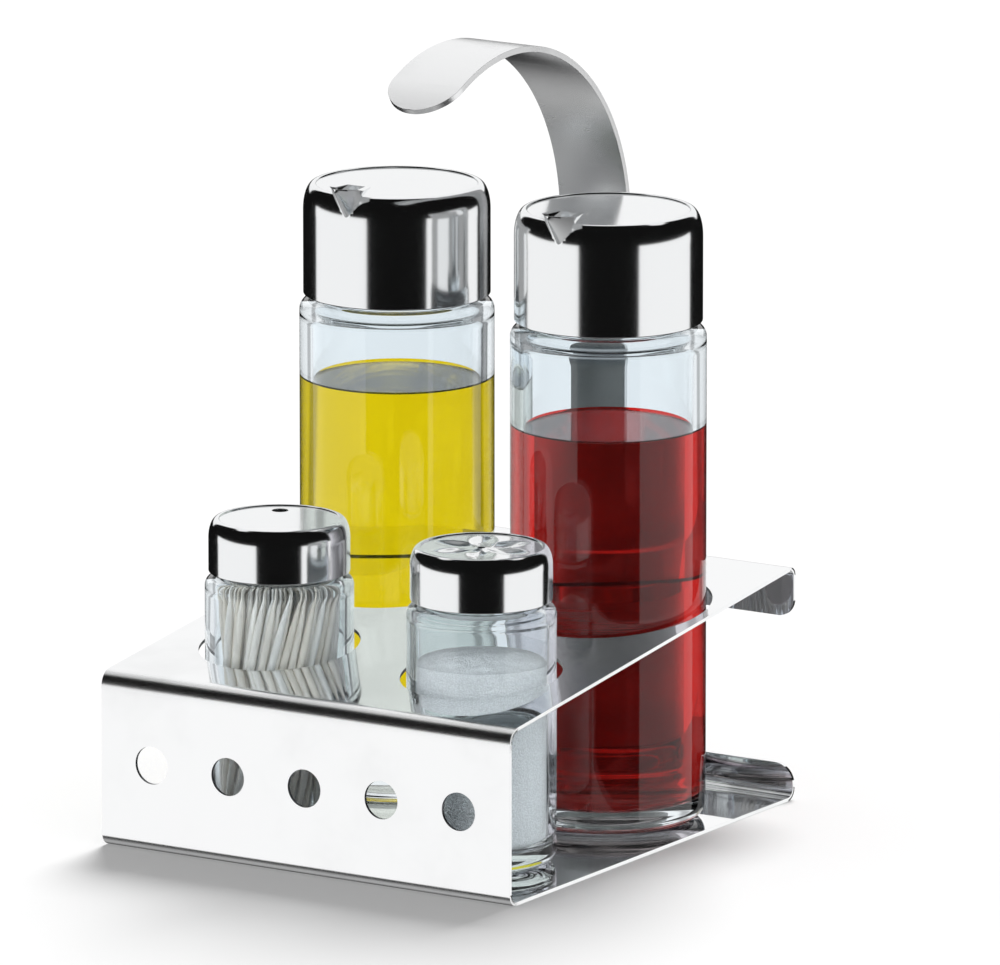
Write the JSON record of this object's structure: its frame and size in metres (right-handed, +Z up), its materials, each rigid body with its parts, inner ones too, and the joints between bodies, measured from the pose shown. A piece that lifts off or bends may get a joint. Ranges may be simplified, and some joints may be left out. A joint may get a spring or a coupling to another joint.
{
  "type": "cruet set",
  "caption": "Folded sheet-steel stand with a hooked carrying handle that holds pouring bottles for oil and vinegar, a salt jar and a toothpick jar with screw caps.",
  "frame": {"origin": "centre of the bounding box on the table under the stand", "axes": "+X right of the stand seen from its front, +Y towards the back where the handle rises, +Z up"},
  "size_m": [0.1346, 0.1536, 0.2197],
  "materials": {
    "sheet_steel": "mirror-polished stainless sheet with faint wipe marks",
    "handle_steel": "polished stainless strip, slightly softer than the sheet",
    "rivet_steel": "plain drawn steel",
    "clear_glass": "clear moulded glass, faint blue-grey at the edges",
    "cap_chrome": "bright mirror",
    "cap_plastic": "moulded, off-white",
    "seal_ring": "soft pale gasket",
    "oil": "clear yellow cooking oil",
    "vinegar": "clear deep red wine vinegar",
    "salt": "fine dry grains, matt",
    "toothpick_wood": "plain birch"
  },
  "bodies": {
    "stand": {"stand_sheet": "sheet_steel", "handle_strip": "handle_steel", "handle_rivet_upper_left": "rivet_steel", "handle_rivet_upper_right": "rivet_steel", "handle_rivet_lower_left": "rivet_steel", "handle_rivet_lower_right": "rivet_steel"},
    "oil_bottle": {"oil_bottle": "clear_glass", "oil": "oil"},
    "oil_cap_seal": {"oil_cap_seal": "seal_ring"},
    "oil_cap": {"oil_cap_liner": "cap_plastic", "oil_cap_shell": "cap_chrome"},
    "vinegar_bottle": {"vinegar_bottle": "clear_glass", "vinegar": "vinegar"},
    "vinegar_cap_seal": {"vinegar_cap_seal": "seal_ring"},
    "vinegar_cap": {"vinegar_cap_liner": "cap_plastic", "vinegar_cap_shell": "cap_chrome"},
    "toothpick_jar": {"toothpick_jar": "clear_glass", "toothpick_01": "toothpick_wood", "toothpick_02": "toothpick_wood", "toothpick_03": "toothpick_wood", "toothpick_04": "toothpick_wood", "toothpick_05": "toothpick_wood", "toothpick_06": "toothpick_wood", "toothpick_07": "toothpick_wood", "toothpick_08": "toothpick_wood", "toothpick_09": "toothpick_wood", "toothpick_10": "toothpick_wood", "toothpick_11": "toothpick_wood", "toothpick_12": "toothpick_wood", "toothpick_13": "toothpick_wood", "toothpick_14": "toothpick_wood", "toothpick_15": "toothpick_wood", "toothpick_16": "toothpick_wood", "toothpick_17": "toothpick_wood", "toothpick_18": "toothpick_wood", "toothpick_19": "toothpick_wood", "toothpick_20": "toothpick_wood", "toothpick_21": "toothpick_wood", "toothpick_22": "toothpick_wood", "toothpick_23": "toothpick_wood", "toothpick_24": "toothpick_wood", "toothpick_25": "toothpick_wood", "toothpick_26": "toothpick_wood", "toothpick_27": "toothpick_wood", "toothpick_28": "toothpick_wood", "toothpick_29": "toothpick_wood", "toothpick_30": "toothpick_wood"},
    "toothpick_cap_seal": {"toothpick_cap_seal": "seal_ring"},
    "toothpick_cap": {"toothpick_cap_liner": "cap_plastic", "toothpick_cap_shell": "cap_chrome"},
    "salt_jar": {"salt_jar": "clear_glass", "salt": "salt"},
    "salt_cap_seal": {"salt_cap_seal": "seal_ring"},
    "salt_cap": {"salt_cap_liner": "cap_plastic", "salt_cap_shell": "cap_chrome"}
  },
  "joints": [
    {"name": "oil_bottle_lift", "type": "hinge", "parent": "stand", "child": "oil_bottle", "pos_m": [-0.6551, 0.0254, 0.0295], "axis": [0, -1, 0], "range_deg": [0, 6.6]},
    {"name": "oil_cap_rise", "type": "slide", "parent": "oil_bottle", "child": "oil_cap_seal", "axis": [0, 0, 1], "range_m": [0, 0.0148]},
    {"name": "oil_cap_turn", "type": "hinge", "parent": "oil_cap_seal", "child": "oil_cap", "pos_m": [-0.0351, 0.0254, 0.15], "axis": [0, 0, 1], "range_deg": [0, 1260]},
    {"name": "vinegar_bottle_lift", "type": "hinge", "parent": "stand", "child": "vinegar_bottle", "pos_m": [0.6551, 0.0254, 0.0295], "axis": [0, 1, 0], "range_deg": [0, 6.6]},
    {"name": "vinegar_cap_rise", "type": "slide", "parent": "vinegar_bottle", "child": "vinegar_cap_seal", "axis": [0, 0, 1], "range_m": [0, 0.0148]},
    {"name": "vinegar_cap_turn", "type": "hinge", "parent": "vinegar_cap_seal", "child": "vinegar_cap", "pos_m": [0.0351, 0.0254, 0.15], "axis": [0, 0, 1], "range_deg": [0, 1260]},
    {"name": "toothpick_jar_lift", "type": "slide", "parent": "stand", "child": "toothpick_jar", "axis": [0, 0, 1], "range_m": [0, 0.06]},
    {"name": "toothpick_cap_rise", "type": "slide", "parent": "toothpick_jar", "child": "toothpick_cap_seal", "axis": [0, 0, 1], "range_m": [0, 0.0105]},
    {"name": "toothpick_cap_turn", "type": "hinge", "parent": "toothpick_cap_seal", "child": "toothpick_cap", "pos_m": [-0.0334, -0.038, 0.08], "axis": [0, 0, 1], "range_deg": [0, 1170]},
    {"name": "salt_jar_lift", "type": "slide", "parent": "stand", "child": "salt_jar", "axis": [0, 0, 1], "range_m": [0, 0.06]},
    {"name": "salt_cap_rise", "type": "slide", "parent": "salt_jar", "child": "salt_cap_seal", "axis": [0, 0, 1], "range_m": [0, 0.0105]},
    {"name": "salt_cap_turn", "type": "hinge", "parent": "salt_cap_seal", "child": "salt_cap", "pos_m": [0.0334, -0.038, 0.08], "axis": [0, 0, 1], "range_deg": [0, 1170]}
  ],
  "couplings": [
    {"joint": "oil_cap_rise", "follows": "oil_cap_turn", "m_per_rad": 0.00066845},
    {"joint": "vinegar_cap_rise", "follows": "vinegar_cap_turn", "m_per_rad": 0.00066845},
    {"joint": "toothpick_cap_rise", "follows": "toothpick_cap_turn", "m_per_rad": 0.0005093},
    {"joint": "salt_cap_rise", "follows": "salt_cap_turn", "m_per_rad": 0.0005093}
  ]
}
